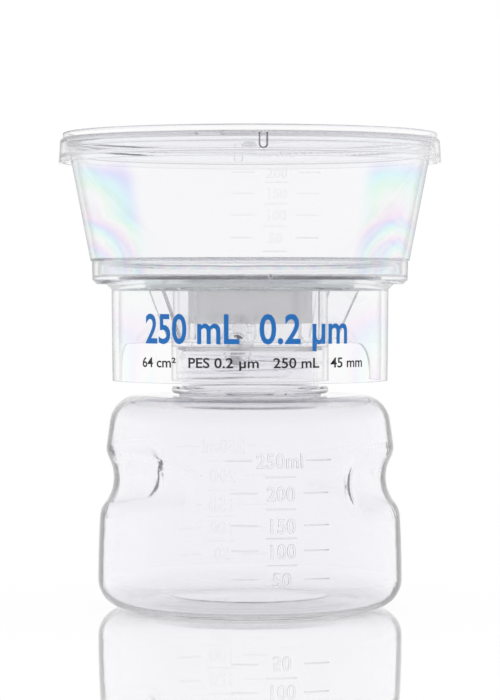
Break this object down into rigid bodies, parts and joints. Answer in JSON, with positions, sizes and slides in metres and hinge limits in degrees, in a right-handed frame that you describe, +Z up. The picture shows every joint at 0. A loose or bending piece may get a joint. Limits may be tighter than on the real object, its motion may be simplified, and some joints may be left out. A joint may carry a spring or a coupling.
{
  "type": "vacuum filtration unit",
  "caption": "Clear vacuum filter head with lid, funnel, membrane, skirt and hose connector, screwed on a waisted receiver bottle with raised volume scales.",
  "frame": {"origin": "centre of the bottle's base, on the surface it stands on", "axes": "+Z up the unit's axis, -Y towards the volume scales, +Y towards the hose connector"},
  "size_m": [0.1152, 0.1152, 0.1429],
  "materials": {
    "clear_plastic": "clear moulded polystyrene, polished",
    "silicone": "white silicone rubber",
    "membrane_film": "white microporous film",
    "natural_plastic": "natural moulded plastic, slightly cloudy",
    "fibre": "pressed white fibre"
  },
  "bodies": {
    "bottle": {"bottle": "clear_plastic"},
    "neck_seal": {"neck_seal": "silicone"},
    "filter_head": {"filter_base": "clear_plastic", "support_plate": "clear_plastic", "membrane": "membrane_film", "funnel": "clear_plastic", "hose_connector": "natural_plastic", "port_plug": "fibre"},
    "lid": {"lid": "clear_plastic"}
  },
  "joints": [
    {"name": "thread_lift", "type": "slide", "parent": "bottle", "child": "neck_seal", "axis": [0, 0, 1], "range_m": [0, 0.00701]},
    {"name": "unscrew", "type": "hinge", "parent": "neck_seal", "child": "filter_head", "pos_m": [0, 0, 0.0787], "axis": [0, 0, 1], "range_deg": [0, 630]},
    {"name": "lid_lift", "type": "slide", "parent": "filter_head", "child": "lid", "axis": [0, 0, 1], "range_m": [0, 0.03]}
  ],
  "couplings": [
    {"joint": "thread_lift", "follows": "unscrew", "m_per_rad": 0.00063662}
  ]
}
